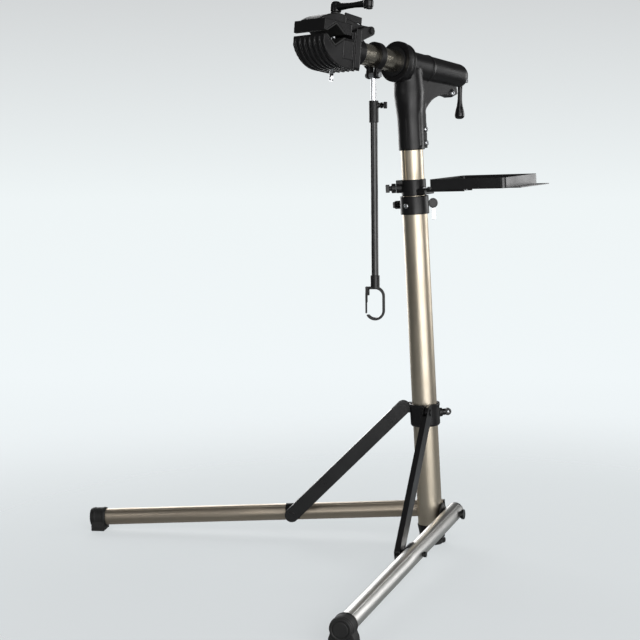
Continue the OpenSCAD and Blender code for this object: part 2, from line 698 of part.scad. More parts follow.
module thrust_washer() color("silver") arm() translate([screw_x, 0, hump_top + 2.2])
    ring(9.5, screw_r + running, 3);

module clamp_screw() color([0.78, 0.78, 0.8]) arm() translate([screw_x, 0, -64])
    cylinder(r = screw_r, h = crank_z + 64 + 14);

module crank_handle() color([0.07, 0.07, 0.08]) arm() translate([screw_x, 0, crank_z]) difference() {
    union() {
        cylinder(r = 10.5, h = 17);
        translate([0, 0, 17]) cylinder(r1 = 10.5, r2 = 7, h = 3.5);
        translate([0, 0, 9.5]) rotate([-90, 0, 0]) cylinder(r1 = 7.5, r2 = 5.8, h = crank_reach - 6);
        translate([0, crank_reach, 2.5]) cylinder(r = 9.5, h = 12);
    }
    translate([0, 0, -1]) cylinder(r = screw_r + seat, h = 15 + seat);
    translate([0, crank_reach, 0]) cylinder(r = 3 + running, h = 40);
}

module crank_knob() color([0.07, 0.07, 0.08]) arm() translate([screw_x, crank_reach, crank_z]) {
    cylinder(r = 3, h = 17);
    translate([0, 0, -0.7]) cylinder(r = 8.5, h = 2.7);
    translate([0, 0, 16]) cylinder(r1 = 10.5, r2 = 9.5, h = 3.5);
    translate([0, 0, 19.5]) cylinder(r1 = 9.5, r2 = 6, h = 2.5);
}

// Holder rod

module rod_ring() color([0.08, 0.08, 0.09]) arm() difference() {
    union() {
        translate([ring_x, 0, 0]) along_x(ring_r, ring_w);
        for (s = [-1, 1]) translate([ring_x, s > 0 ? ring_ear_in : -ring_ear_in - ring_ear_t, swing_z])
            cube([ring_w, ring_ear_t, 24]);
        for (s = [-1, 1]) translate([ring_x + ring_w / 2, s * (ring_ear_in + ring_ear_t / 2), swing_z])
            along_y(ring_w / 2, -ring_ear_t / 2, ring_ear_t / 2);
    }
    translate([ring_x - 1, 0, 0]) along_x(arm_r + running, ring_w + 2);
    translate([ring_x - 1, -ring_ear_in, swing_z - 20]) cube([ring_w + 2, 2 * ring_ear_in, 40]);
    translate([ring_x + ring_w / 2, 0, swing_z]) along_y(3 + seat, -30, 30);
}

module rod_ring_bolt() color("silver") arm() translate([ring_x + ring_w / 2, 0, swing_z]) {
    along_y(3, -ring_ear_in - ring_ear_t - 3, ring_ear_in + ring_ear_t + 2);
    along_y(5, ring_ear_in + ring_ear_t, ring_ear_in + ring_ear_t + 4);
    along_y(5.2, -ring_ear_in - ring_ear_t - 4, -ring_ear_in - ring_ear_t);
}

module rod_inner() color([0.8, 0.8, 0.82]) rod() difference() {
    union() {
        along_y(7, -ring_ear_in + air, ring_ear_in - air);
        translate([0, 0, -rod_inner_l]) cylinder(r = rod_r, h = rod_inner_l - 4);
    }
    along_y(3 + running, -20, 20);
}

module rod_sleeve() color([0.08, 0.08, 0.09]) rod() translate([0, 0, sleeve_top - sleeve_l]) difference() {
    union() {
        cylinder(r = rod_sleeve_r, h = sleeve_l);
        rotate([0, 0, rod_screw_az]) translate([0, 0, sleeve_l - 9]) along_x(5, rod_sleeve_r + 3);
    }
    translate([0, 0, -1]) cylinder(r = rod_r + running, h = sleeve_l + 2);
    translate([0, 0, -1]) cylinder(r = rod_outer_r + seat, h = 19);
    rotate([0, 0, rod_screw_az]) translate([0, 0, sleeve_l - 9]) along_x(2.5 + running, 30);
}

module rod_outer() color([0.07, 0.07, 0.08]) rod() translate([0, 0, -rod_l])
    difference() {
        cylinder(r = rod_outer_r, h = rod_l + sleeve_top - sleeve_l + 18);
        translate([0, 0, 8]) cylinder(r = rod_r + running, h = rod_l);
    }

module rod_screw() color([0.07, 0.07, 0.08]) rod() translate([0, 0, sleeve_top - 9])
    rotate([0, 0, rod_screw_az]) {
        translate([rod_r + 0.4, 0, 0]) along_x(2.5, 14);
        translate([rod_sleeve_r + 3 + air, 0, 0]) along_x(5.5, 5);
        translate([rod_sleeve_r + 8, -2, -6]) cube([9, 4, 12]);
    }

// Holder at the rod's end: a stiff hook on one side and a hinged strap on the other
module holder() rod() translate([0, 0, -rod_l]) rotate([0, 0, holder_turn]) children();

module loop_band(r_out, r_in) difference() {
    union() {
        circle(r = r_out);
        translate([-r_out, -2 * loop_mid]) square([2 * r_out, 2 * loop_mid]);
        translate([0, -2 * loop_mid]) circle(r = r_out);
    }
    union() {
        circle(r = r_in);
        translate([-r_in, -2 * loop_mid]) square([2 * r_in, 2 * loop_mid]);
        translate([0, -2 * loop_mid]) circle(r = r_in);
    }
}

module holder_cradle() color([0.07, 0.07, 0.08]) holder() difference() {
    union() {
        translate([0, 0, -12]) cylinder(r = 9, h = 26);
        plate_y(-loop_w / 2, loop_w / 2) translate([0, -loop_r - 8]) difference() {
            loop_band(loop_r, loop_in);
            translate([1, -2 * loop_mid - 8]) square([40, 2 * loop_mid + 8 + loop_in]);
        }
        translate([0, -5, -13]) cube([loop_r, 10, 5]);
        translate([loop_r - 8, -5, strap_z - 4]) cube([8, 10, -strap_z - 5]);
    }
    translate([0, 0, -1]) cylinder(r = rod_outer_r + seat, h = 30);
    translate([strap_x, 0, strap_z]) along_y(2.2, -20, 20);
}

module holder_strap() color([0.1, 0.1, 0.1]) holder() translate([strap_x, 0, strap_z]) difference() {
    union() {
        along_y(2.1, -8, 8);
        for (s = [-1, 1]) translate([0, s * 6.8, 0]) {
            along_y(4, -1.4, 1.4);
            translate([0, -1.4, -18]) cube([4, 2.8, 18]);
        }
        translate([1, -8.2, -39]) cube([3, 16.4, 25]);
    }
    for (i = [0 : 2]) translate([-4, 0, -20 - 7.5 * i]) along_x(2, 12);
}

// Left and right nodes

module leg_tube_left() leg_tube(1);
module leg_tube_right() leg_tube(-1);
module leg_plug_left() leg_plug(1);
module leg_plug_right() leg_plug(-1);
module foot_cap_left() foot_cap(1);
module foot_cap_right() foot_cap(-1);
module strut_saddle_left() strut_saddle(1);
module strut_saddle_right() strut_saddle(-1);
module strut_bolt_left() strut_bolt(1);
module strut_bolt_right() strut_bolt(-1);
module strut_left() strut(1);
module strut_right() strut(-1);
module strut_rivet_left() strut_rivet(1);
module strut_rivet_right() strut_rivet(-1);

base_casting();
mast_foot_pad();
leg_pivot_bolts();
lower_tube();
top_collar();
top_collar_liner();
top_skewer();
skewer_knob();
key_screw();
top_lever();
brace_collar();
strut_pins();
collar_knob();
leg_tube_left();
leg_plug_left();
foot_cap_left();
strut_saddle_left();
strut_bolt_left();
leg_tube_right();
leg_plug_right();
foot_cap_right();
strut_saddle_right();
strut_bolt_right();
strut_left();
strut_rivet_left();
strut_right();
strut_rivet_right();
upper_tube();
upper_tube_glide();
head_casting();
head_clamp_bolts();
arm_bushing_front();
arm_bushing_rear();
head_lever_pin();
head_lever();
tray_clamp();
tray_bracket();
tray_pan();
tray_screws();
tray_knob();
arm_tube();
arm_end_cap();
lower_jaw();
lower_jaw_pad();
jaw_bolts();
jaw_hinge_pin();
upper_jaw();
upper_jaw_pad();
thrust_washer();
clamp_screw();
crank_handle();
crank_knob();
rod_ring();
rod_ring_bolt();
rod_inner();
rod_sleeve();
rod_outer();
rod_screw();
holder_cradle();
holder_strap();
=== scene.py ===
# %% [markdown]
# # A folding repair stand
# The stand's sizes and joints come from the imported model, which is loaded first as a fixed frame.
# Everything made here is laid over that frame, in metres, and rides on one of its moving bodies.

# %% Load the frame
import json
from math import cos, pi, radians, sin

import bpy
from mathutils import Matrix, Vector


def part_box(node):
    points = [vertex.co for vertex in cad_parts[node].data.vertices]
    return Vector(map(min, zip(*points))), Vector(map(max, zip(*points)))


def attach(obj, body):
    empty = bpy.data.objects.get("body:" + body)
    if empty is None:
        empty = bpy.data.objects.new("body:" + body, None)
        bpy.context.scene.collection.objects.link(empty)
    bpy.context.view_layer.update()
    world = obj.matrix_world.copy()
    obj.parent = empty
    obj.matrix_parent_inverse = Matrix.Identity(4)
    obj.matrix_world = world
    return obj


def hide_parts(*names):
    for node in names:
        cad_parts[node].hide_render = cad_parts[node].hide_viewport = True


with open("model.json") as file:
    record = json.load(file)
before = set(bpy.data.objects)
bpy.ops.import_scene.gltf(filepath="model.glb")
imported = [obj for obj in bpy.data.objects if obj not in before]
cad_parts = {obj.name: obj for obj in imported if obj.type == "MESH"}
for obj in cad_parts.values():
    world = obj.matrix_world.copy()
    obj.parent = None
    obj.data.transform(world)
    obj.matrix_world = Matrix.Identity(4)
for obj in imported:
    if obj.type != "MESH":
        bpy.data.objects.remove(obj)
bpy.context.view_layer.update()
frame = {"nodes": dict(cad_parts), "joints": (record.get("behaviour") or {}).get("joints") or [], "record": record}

nodes = frame["nodes"]
slot_of = {part["node"]: part["material_slot"] for part in frame["record"]["subparts"]}
body_of = {node: body for body, members in frame["record"]["behaviour"]["bodies"].items() for node in members}
joint = {j["name"]: j for j in frame["joints"]}
mm = 0.001

# %% [markdown]
# ## Working frames
# The mast leans, the arm tilts and each leg has its own heading. A piece is easier to model upright, so
# each of these gets a matrix that carries a piece from its own upright drawing to its place.
# The joints give the directions, so nothing is measured by eye.

# %% Frames of the mast, the arm and the legs
def axes_at(origin, x, z):
    """A frame with its x axis near x and its z axis along z."""
    z = Vector(z).normalized()
    y = z.cross(Vector(x)).normalized()
    place = Matrix((y.cross(z), y, z)).transposed().to_4x4()
    place.translation = Vector(origin)
    return place


mast_up = Vector(joint["mast_height"]["axis"])
arm_out = Vector(joint["arm_turn"]["axis"])
across = -Vector(joint["upper_jaw_open"]["axis"])
arm = axes_at(joint["arm_turn"]["pos_m"], arm_out, arm_out.cross(across))
leg = {}
for side in ("left", "right"):
    hinge = joint[f"leg_{side}_fold"]
    leg[side] = axes_at(hinge["pos_m"], mast_up.cross(Vector(hinge["axis"])), mast_up)
print("mast leans", round(mast_up.angle(Vector((0, 0, 1))) * 180 / pi, 2), "degrees")

# %% [markdown]
# ## Finishes
# A finish starts from what the real surface is and how it was made. Every pattern is worked out from a size
# in millimetres, and reads Object coordinates, so it stays put on its piece at any pose.

# %% Colours from hex codes
def linear(code):
    """A hex colour such as "b9a98f" as the linear values that a shader works with."""
    parts = [int(code[i:i + 2], 16) / 255 for i in (0, 2, 4)]
    return tuple(c / 12.92 if c <= 0.04045 else ((c + 0.055) / 1.055) ** 2.4 for c in parts) + (1.0,)


print("middle grey is", round(linear("808080")[0], 3), "as light")

# %% [markdown]
# A material is a tree of small nodes. One function adds a node with its settings and its links, so that the
# finishes below read as a short list of what each one is made of.

# %% A node, and a material with its coordinates
def add(tree, kind, inputs=(), **settings):
    """A new node with its settings, and with inputs given as values or as the outputs to link."""
    made = tree.nodes.new(kind)
    for key, value in settings.items():
        setattr(made, key, value)
    for key, value in dict(inputs).items():
        if isinstance(value, bpy.types.NodeSocket):
            tree.links.new(value, made.inputs[key])
        else:
            made.inputs[key].default_value = value
    return made


def surface(name, colour, metallic, roughness):
    """A material with one Principled shader; gives the material, its tree, the shader and the coordinates."""
    made = bpy.data.materials.new(name)
    made.use_nodes = True
    tree = made.node_tree
    shader = tree.nodes["Principled BSDF"]
    shader.inputs["Base Color"].default_value = linear(colour)
    shader.inputs["Metallic"].default_value = metallic
    shader.inputs["Roughness"].default_value = roughness
    where = add(tree, "ShaderNodeTexCoord").outputs["Object"]
    return made, tree, shader, where


# %% [markdown]
# Every finish varies a little. Noise gives the variation, its middle range is spread over two values or two
# colours, and a bump turns it into relief. Edges are eased in the same step, because light catches on them.

# %% Variation in colour, roughness and relief
def spread(tree, value, low, high):
    """Turns a pattern's middle range into values from low to high."""
    ranged = add(tree, "ShaderNodeMapRange", {"Value": value, "From Min": 0.3, "From Max": 0.7,
                                              "To Min": low, "To Max": high})
    return ranged.outputs["Result"]


def two_tone(tree, factor, first, second):
    """A mix of two hex colours by a pattern."""
    mixed = add(tree, "ShaderNodeMix", {"Factor": factor}, data_type="RGBA")
    mixed.inputs[6].default_value, mixed.inputs[7].default_value = linear(first), linear(second)
    return mixed.outputs[2]


def grain(tree, where, size, detail=2.0):
    """Noise whose blotches are about size millimetres across."""
    made = add(tree, "ShaderNodeTexNoise", {"Vector": where, "Scale": 1 / (size * mm), "Detail": detail})
    return made.outputs["Fac"]


def relief(tree, shader, height, depth, edge=0.0):
    """Raises the surface by a pattern depth millimetres deep, on edges eased by edge millimetres."""
    bump = add(tree, "ShaderNodeBump", {"Height": height, "Strength": 1.0, "Distance": depth * mm})
    if edge:
        eased = add(tree, "ShaderNodeBevel", {"Radius": edge * mm}, samples=4)
        tree.links.new(eased.outputs["Normal"], bump.inputs["Normal"])
    tree.links.new(bump.outputs["Normal"], shader.inputs["Normal"])


print("variation and relief are ready")

# %% [markdown]
# ### Anodised aluminium
# The tubes are drawn aluminium, etched satin and anodised in a champagne tone. Drawing leaves faint lines
# along the tube, so the noise is stretched lengthwise, and handling leaves slightly duller patches.

# %% Anodised aluminium, one for each tube direction
DRAWN_OUT = 0.008       # the noise is 125 times as long as it is wide


def anodised(name, along, colours, roughness=0.35):
    """Satin metal with drawing lines one way: fine lines 1.1 mm apart, duller patches 60 mm across."""
    made, tree, shader, where = surface(name, colours[0], 1.0, roughness)
    turn = Vector(along).rotation_difference(Vector((0, 0, 1))).to_euler()
    lined = add(tree, "ShaderNodeMapping", {"Vector": where, "Rotation": turn, "Scale": (1, 1, DRAWN_OUT)})
    lines = grain(tree, lined.outputs["Vector"], 1.1, 3.0)
    patches = grain(tree, where, 60, 4.0)
    tree.links.new(two_tone(tree, spread(tree, patches, 0, 1), *colours), shader.inputs["Base Color"])
    both = add(tree, "ShaderNodeMath", {0: lines, 1: patches}, operation="ADD")
    halved = add(tree, "ShaderNodeMath", {0: both.outputs[0], 1: 0.5}, operation="MULTIPLY")
    worn = spread(tree, halved.outputs[0], roughness - 0.06, roughness + 0.1)
    tree.links.new(worn, shader.inputs["Roughness"])
    relief(tree, shader, lines, 0.012)
    shader.inputs["Anisotropic"].default_value = 0.3
    return made


champagne = ("cfc5b3", "c4b8a5")
tube_finish = {
    "lower_tube": anodised("anodised_aluminium_mast", mast_up, champagne),
    "arm_tube": anodised("anodised_aluminium_arm", arm_out, ("cdc6b8", "c2baaa"), 0.24),
}
tube_finish["upper_tube"] = tube_finish["lower_tube"]
for side in ("left", "right"):
    direction = leg[side].to_3x3() @ Vector((1, 0, 0))
    # the left leg's pair is painted lighter and cooler than the other tubes' champagne: a painted highlight for
    # the light that falls on it from above
    tone_and_painted_light = ("dcdbd8", "d0cfcc") if side == "left" else ("c6baaa", "baad9b")
    tube_finish[f"leg_tube_{side}"] = anodised(f"anodised_aluminium_{side}_leg", direction, tone_and_painted_light)
print("tube finishes", sorted(tube_finish))


# %% [markdown]
# ### Black finishes
# Five blacks that the hand can tell apart: glass-filled nylon castings with a fine pebble, glossy powder
# coat with its orange peel, matt rubber, smooth grip plastic, and plain nylon for liners.

# %% Glass-filled nylon, powder coat, rubber and plastics
ROUGHNESS_SPREAD = 0.08     # how far handling makes a black duller or glossier


def black(name, colours, roughness, pebble, depth, edge=0.0):
    """A dark finish: pebble millimetres from bump to bump, depth millimetres high, edges eased."""
    made, tree, shader, where = surface(name, colours[0], 0.0, roughness)
    cloudy = grain(tree, where, 35, 3.0)
    tree.links.new(two_tone(tree, spread(tree, cloudy, 0, 1), *colours), shader.inputs["Base Color"])
    worn = spread(tree, cloudy, roughness - ROUGHNESS_SPREAD, roughness + ROUGHNESS_SPREAD)
    tree.links.new(worn, shader.inputs["Roughness"])
    relief(tree, shader, grain(tree, where, pebble), depth, edge)
    return made, shader


cast_black, shader = black("glass_filled_nylon_moulded", ("141314", "0e0d0e"), 0.38, 0.9, 0.03, 0.5)
shader.inputs["Specular IOR Level"].default_value = 0.4
powder_black, shader = black("powder_coated_steel_black", ("121112", "0c0c0d"), 0.34, 2.4, 0.05, 0.4)
shader.inputs["Coat Weight"].default_value = 0.35
shader.inputs["Coat Roughness"].default_value = 0.22
rubber_black, shader = black("rubber_moulded_black", ("121212", "191918"), 0.66, 0.7, 0.04, 0.6)
moulded_black, shader = black("grip_plastic_moulded_black", ("101011", "0b0b0c"), 0.28, 1.6, 0.015, 0.5)
nylon_black, shader = black("nylon_turned_black", ("1a1a1b", "131314"), 0.45, 0.6, 0.01)


# %% [markdown]
# ### Bright metals
# Chrome plate is nearly a mirror with faint polishing lines. Zinc plate is duller, with the soft mottling
# of its crystals and a slight blue or yellow cast.

# %% Chrome plate and zinc plate
chromed, tree, shader, where = surface("chrome_plated_steel", "dcdde0", 1.0, 0.12)
tree.links.new(spread(tree, grain(tree, where, 6, 4.0), 0.07, 0.2), shader.inputs["Roughness"])
relief(tree, shader, grain(tree, where, 1.5), 0.004)

zinc_steel, tree, shader, where = surface("zinc_plated_steel", "b9bcc2", 1.0, 0.32)
crystals = add(tree, "ShaderNodeTexVoronoi", {"Vector": where, "Scale": 1 / (2.2 * mm)}).outputs["Distance"]
tree.links.new(two_tone(tree, spread(tree, crystals, 0, 1), "c6c8cc", "aeb0b0"), shader.inputs["Base Color"])
tree.links.new(spread(tree, crystals, 0.24, 0.4), shader.inputs["Roughness"])
relief(tree, shader, grain(tree, where, 1.2), 0.01, 0.3)

finish = {"cast_black": cast_black, "powder_black": powder_black, "rubber_black": rubber_black,
          "moulded_black": moulded_black, "nylon_black": nylon_black, "chromed": chromed,
          "zinc_steel": zinc_steel, "tube_anodised": tube_finish["lower_tube"],
          "arm_anodised": tube_finish["arm_tube"]}
print("finishes", sorted(finish))

# %% [markdown]
# ## Finishes on the frame
# Every node of the frame gets its finish, by the slot that its record names. Tubes get the one that is
# drawn along their own direction.

# %% Assign the finishes
def coat(thing, material):
    thing.data.materials.clear()
    thing.data.materials.append(material)


for name, thing in nodes.items():
    coat(thing, tube_finish.get(name, finish[slot_of[name]]))
print("coated", len(nodes), "nodes")

# %% [markdown]
# ## Castings with rounded edges
# A moulded or cast part has no sharp edge: the mould's edges are eased and the wall flows into its ribs.
# Bevelling every edge of a casting by hand is slow, and bevels fail where many short edges meet. A voxel
# remesh of a copy, followed by smoothing, rounds every edge and fills every inner corner at once.

# %% Selecting, joining and melting together
def only(thing):
    """Makes this the one selected and active object, in object mode."""
    if bpy.context.mode != "OBJECT":
        bpy.ops.object.mode_set(mode="OBJECT")
    bpy.ops.object.select_all(action="DESELECT")
    thing.select_set(True)
    bpy.context.view_layer.objects.active = thing


def modify(thing, kind, **settings):
    """Adds a modifier with its settings and applies it."""
    only(thing)
    made = thing.modifiers.new(kind, kind)
    for key, value in settings.items():
        setattr(made, key, value)
    bpy.ops.object.modifier_apply(modifier=made.name)


def joined(first, *others):
    """One object from several, in place."""
    only(first)
    for other in others:
        other.select_set(True)
    if others:
        bpy.ops.object.join()
    return first


def fused(thing, voxel, passes=4):
    """Melts overlapping shapes into one closed skin with eased edges."""
    modify(thing, "REMESH", mode="VOXEL", voxel_size=voxel * mm, use_smooth_shade=True)
    modify(thing, "SMOOTH", factor=0.5, iterations=passes)
    bpy.ops.object.shade_smooth()
    return thing


# %% [markdown]
# A finished piece needs a finish, a body to ride on and the name of the node it stands for. Copies of the
# castings go through the same steps, so both are functions.

# %% Handing a piece over, and rounded copies
def hand_over(thing, body, slot, *replaced):
    """Finishes a piece: coats it in the finish of its slot, sets it on the body it rides on and hides the nodes it
    stands in for.
    """
    coat(thing, finish[slot])
    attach(thing, body)
    if replaced:
        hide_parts(*replaced)
    print(thing.name, len(thing.data.polygons), "faces")
    return thing


WELD = 0.01 * mm        # corners closer than this are one corner


def rounded(node, voxel, passes=4, details=(), slot=None):
    """A copy of a node as a casting with eased edges, with details moulded on, in place of the node."""
    source = nodes[node]
    copy = bpy.data.objects.new(f"{node}_rounded", source.data.copy())
    bpy.context.scene.collection.objects.link(copy)
    only(copy)
    bpy.ops.object.mode_set(mode="EDIT")
    bpy.ops.mesh.select_all(action="SELECT")
    bpy.ops.mesh.remove_doubles(threshold=WELD)
    bpy.ops.object.mode_set(mode="OBJECT")
    fused(joined(copy, *details), voxel, passes)
    return hand_over(copy, body_of[node], slot or slot_of[node], node)


# %% [markdown]
# ## Shapes by hand
# Knobs, levers and bolts are round, so they start as a disc that is extruded upwards and scaled at each
# step, like work on a lathe. Flat ribs and wings start as a block. Each is drawn upright at the origin, in
# millimetres, and is then carried to its place.

# %% Turned pieces
SMOOTH_UP_TO = radians(40)      # a sharper edge than this stays crisp


def turned(name, profile, place=Matrix(), sides=48):
    """A disc of the first (radius, height), extruded and scaled to each next one."""
    bpy.ops.object.select_all(action="DESELECT")
    (radius, height), *steps = profile
    bpy.ops.mesh.primitive_circle_add(vertices=sides, radius=radius * mm, fill_type="NGON",
                                      location=(0, 0, height * mm))
    made = bpy.context.object
    made.name = name
    bpy.ops.object.transform_apply(location=True)
    bpy.ops.object.mode_set(mode="EDIT")
    bpy.ops.mesh.select_all(action="SELECT")
    for next_radius, next_height in steps:
        bpy.ops.mesh.extrude_region_move(
            TRANSFORM_OT_translate={"value": (0, 0, (next_height - height) * mm)})
        grow = next_radius / radius
        bpy.ops.transform.resize(value=(grow, grow, 1), center_override=(0, 0, next_height * mm))
        radius, height = next_radius, next_height
    bpy.ops.mesh.select_all(action="SELECT")
    bpy.ops.mesh.normals_make_consistent(inside=False)
    bpy.ops.object.mode_set(mode="OBJECT")
    made.data.transform(place)
    bpy.ops.object.shade_smooth_by_angle(angle=SMOOTH_UP_TO)
    return made


print("a piece is turned from a disc")

# %% [markdown]
# Ribs, posts and wings are flat. A block is placed by two of its corners, and its edges can be bevelled.

# %% Blocks
def block(name, low, high, place=Matrix(), ease=0.0):
    """A box between two corners, its edges bevelled by ease millimetres."""
    bpy.ops.object.select_all(action="DESELECT")
    low, high = Vector(low) * mm, Vector(high) * mm
    bpy.ops.mesh.primitive_cube_add(size=1, location=(low + high) / 2, scale=high - low)
    made = bpy.context.object
    made.name = name
    bpy.ops.object.transform_apply(location=True, scale=True)
    if ease:
        bpy.ops.object.mode_set(mode="EDIT")
        bpy.ops.mesh.select_all(action="SELECT")
        bpy.ops.mesh.bevel(offset=ease * mm, segments=3)
        bpy.ops.object.mode_set(mode="OBJECT")
    made.data.transform(place)
    return made


print("ribs and wings start as blocks")

# %% [markdown]
# A knob that wet fingers must turn has flutes. They are faces of the turned side, chosen by their angle
# around the axis, and pressed in.

# %% Flutes, and frames at the joints
def fluted(thing, axis_frame, low, high, flutes, depth):
    """Presses flutes into the side of a turned piece between two heights."""
    only(thing)
    inverse = axis_frame.inverted()
    for face in thing.data.polygons:
        middle = inverse @ face.center
        out = inverse.to_3x3() @ face.normal
        turns = Vector((middle.x, middle.y)).angle_signed(Vector((1, 0))) / (2 * pi)
        step = int(turns * flutes * 2 + flutes * 4)
        on_the_side = low * mm < middle.z < high * mm and abs(out.z) < 0.2
        face.select = on_the_side and step % 2 == 0
    bpy.ops.object.mode_set(mode="EDIT")
    bpy.ops.mesh.select_mode(type="FACE")
    bpy.ops.mesh.extrude_region_shrink_fatten(TRANSFORM_OT_shrink_fatten={"value": -depth * mm})
    bpy.ops.object.mode_set(mode="OBJECT")
    return thing


def upright(name, x=(0, 0, 1)):
    """A frame at a joint, with z along the joint's axis."""
    axis = Vector(joint[name]["axis"])
    side = Vector(x) if abs(axis.dot(Vector(x))) < 0.9 else Vector((1, 0, 0))
    return axes_at(joint[name]["pos_m"], side, axis)


SIDEWAYS = Matrix.Rotation(pi / 2, 4, "X")          # turns a piece's z axis to -y
FORWARD = Matrix.Rotation(pi / 2, 4, "Y")           # turns a piece's z axis to +x
print("joints with a frame of their own:", len(joint))

# %% [markdown]
# ## Head and collars
# The head is one moulding: a socket on the mast, a sleeve for the arm with a double flange, and a gusset
# between them. Raised bosses and ribs are added before its skin is melted together.

# %% Head casting and collars
def boss(name, frame_of, spot, radius, length, along=SIDEWAYS):
    """A round raised boss, symmetrical about its spot."""
    move = Matrix.Translation(Vector(spot) * mm)
    return turned(name, [(radius - 1, -length / 2), (radius, -length / 2 + 1), (radius, length / 2 - 1),
                         (radius - 1, length / 2)], frame_of @ move @ along)


gusset_screw = (-128, 0, -39)                           # in the arm's frame, millimetres
socket_lean = Matrix.Rotation(radians(10), 4, "Y")      # follows the socket's slope closely enough
head_details = [
    boss("gusset_boss", arm, gusset_screw, 7, 24),
    boss("sleeve_bead", arm, (-52, 0, 0), 27.6, 5, FORWARD),
    boss("flange_bead", arm, (12, 0, 0), 33, 5, FORWARD),
    block("socket_rib", (-2.2, 20, -160), (2.2, 28, -72), arm @ socket_lean),
    block("socket_rib_far", (-2.2, -28, -160), (2.2, -20, -72), arm @ socket_lean),
]
rounded("head_casting", 1.3, 4, head_details)
for node in ("base_casting", "top_collar", "brace_collar", "tray_clamp", "rod_ring", "rod_sleeve",
             "mast_foot_pad", "strut_saddle_left", "strut_saddle_right"):
    rounded(node, 0.8)
for node in ("leg_pivot_bolts", "strut_bolt_left", "strut_bolt_right", "collar_knob"):
    rounded(node, 0.5, slot="moulded_black")

# %% [markdown]
# ## Screws
# Small bright screw heads are what the eye finds first on a black casting. Each is turned with a low dome
# and a driver socket sunk in it.

# %% Screw heads
def screw_head(name, place, radius, height, body):
    """A domed head on its seat, with a socket for the driver."""
    seat = [(radius * 0.92, -1), (radius, 0)]
    dome = [(radius, height * 0.45), (radius * 0.8, height * 0.85), (radius * 0.52, height)]
    socket = [(radius * 0.46, height * 0.95), (radius * 0.42, height * 0.3), (0.02, height * 0.25)]
    head = turned(name, seat + dome + socket, place, 36)
    return hand_over(head, body, "zinc_steel")


def lifted(place, height):
    """The same frame, moved along its own z axis by height millimetres."""
    return place @ Matrix.Translation((0, 0, height * mm))


clamp_pitch = 27          # millimetres between the two screws that close the socket
yawed = axes_at((0, 0, 0), arm_out, mast_up)
middle = sum(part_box("head_clamp_bolts"), Vector()) / 2
for face, turn in (("left", -1), ("right", 1)):
    along = Matrix.Rotation(turn * pi / 2, 4, "X")
    for row, lift in (("low", -clamp_pitch / 2), ("high", clamp_pitch / 2)):
        at = Matrix.Translation(middle + mast_up * lift * mm) @ yawed @ along
        screw_head(f"head_clamp_screw_{row}_{face}", lifted(at, 14), 5, 2.6, "upper_mast")
    at = arm @ Matrix.Translation(Vector(gusset_screw) * mm) @ along
    screw_head(f"gusset_screw_{face}", lifted(at, 12), 4.6, 2.2, "upper_mast")
    at = upright("head_lever_swing", arm_out) @ Matrix.Rotation(0 if turn < 0 else pi, 4, "X")
    screw_head(f"lever_screw_{face}", lifted(at, 17.4), 4.4, 2.2, "upper_mast")
key_low, key_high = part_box("key_screw")
key_middle = (key_low + key_high) / 2
outwards = key_middle - mast_up * key_middle.dot(mast_up)
outwards.normalize()
screw_head("key_screw_head", axes_at(key_middle + outwards * 3.4 * mm, mast_up, outwards), 5, 2.4, "base")

# %% [markdown]
# ## Jaws
# The lower jaw is moulded with deep grooves, a raised post at the rear of each side, and a rubber vee that
# stands a little proud of the jaw. The upper jaw has two low ribs along its back.

# %% Jaws and their rubber
posts = [block(f"jaw_post_{side}", (179, y, -40), (193, y + 4, 34), arm)
         for side, y in (("left", 40), ("right", -44))]
panels = [block(f"jaw_panel_{side}", (198, y, -26), (222, y + 2, 8), arm)
          for side, y in (("left", 40), ("right", -42))]
rounded("lower_jaw", 1.0, 3, posts + panels)
back_slope = arm @ Matrix.Rotation(radians(-3), 4, "Y")
spines = [block(f"jaw_spine_{side}", (150, y - 1.5, 44), (196, y + 1.5, 57), back_slope)
          for side, y in (("left", 9), ("right", -9))]
rounded("upper_jaw", 0.85, 4, spines)
wider = Matrix.Diagonal((1, 1.05, 1, 1))        # the rubber shows about 2 mm past each side
for node in ("upper_jaw_pad", "lower_jaw_pad"):
    pad = rounded(node, 0.6, 3)
    pad.data.transform(arm @ wider @ arm.inverted())
for node in ("holder_cradle", "holder_strap"):
    rounded(node, 0.6, 3)

# %% [markdown]
# ## Clamp screw and crank
# The clamp screw is a steel rod with a rolled thread, turned by a crank shaped like a dog bone: a hub, a
# waisted arm and a round knob.

# %% Thread, crank and knob
pitch, root, crest = 2, 3.45, 4     # a 2 mm pitch on an 8 mm rod
thread = [(3.2, -64), (crest, -63), (crest, -52)]
for turn in range(30):
    thread += [(root, -51 + pitch * turn), (crest, -50 + pitch * turn)]
screw_reach = 0.209                 # metres from the arm's own origin to the screw
screw_at = arm @ Matrix.Translation((screw_reach, 0, 0))
threaded = turned("clamp_screw_threaded", thread + [(crest, 70)], screw_at, 32)
hand_over(threaded, "crank", "chromed", "clamp_screw")

knob_centre, crank_centre = (Vector(joint[name]["pos_m"]) for name in ("crank_knob_spin", "crank_turn"))
reach = (knob_centre - crank_centre).dot(across) / mm
crank_at = axes_at(crank_centre, arm_out, joint["crank_turn"]["axis"])
hub = turned("crank_hub", [(8.6, 0), (10.4, 1.2), (10.6, 8), (10.5, 14), (9, 18), (6, 20.2), (0.1, 20.6)],
             crank_at)
waist = [(8, 2), (7.4, 10), (6.3, 22), (5.5, 36), (5.3, 48), (5.9, 62), (7.2, 74), (7.6, reach)]
bar = turned("crank_bar", waist, lifted(crank_at, 9.5) @ Matrix.Rotation(-pi / 2, 4, "X"))
eye = turned("crank_eye", [(8.4, 2.6), (9.5, 3.6), (9.5, 13.4), (8.4, 14.4)],
             crank_at @ Matrix.Translation((0, reach * mm, 0)))
crank = fused(joined(hub, bar, eye), 0.6, 6)
hand_over(crank, "crank", "moulded_black", "crank_handle")
knob_at = crank_at @ Matrix.Translation((0, reach * mm, 0))
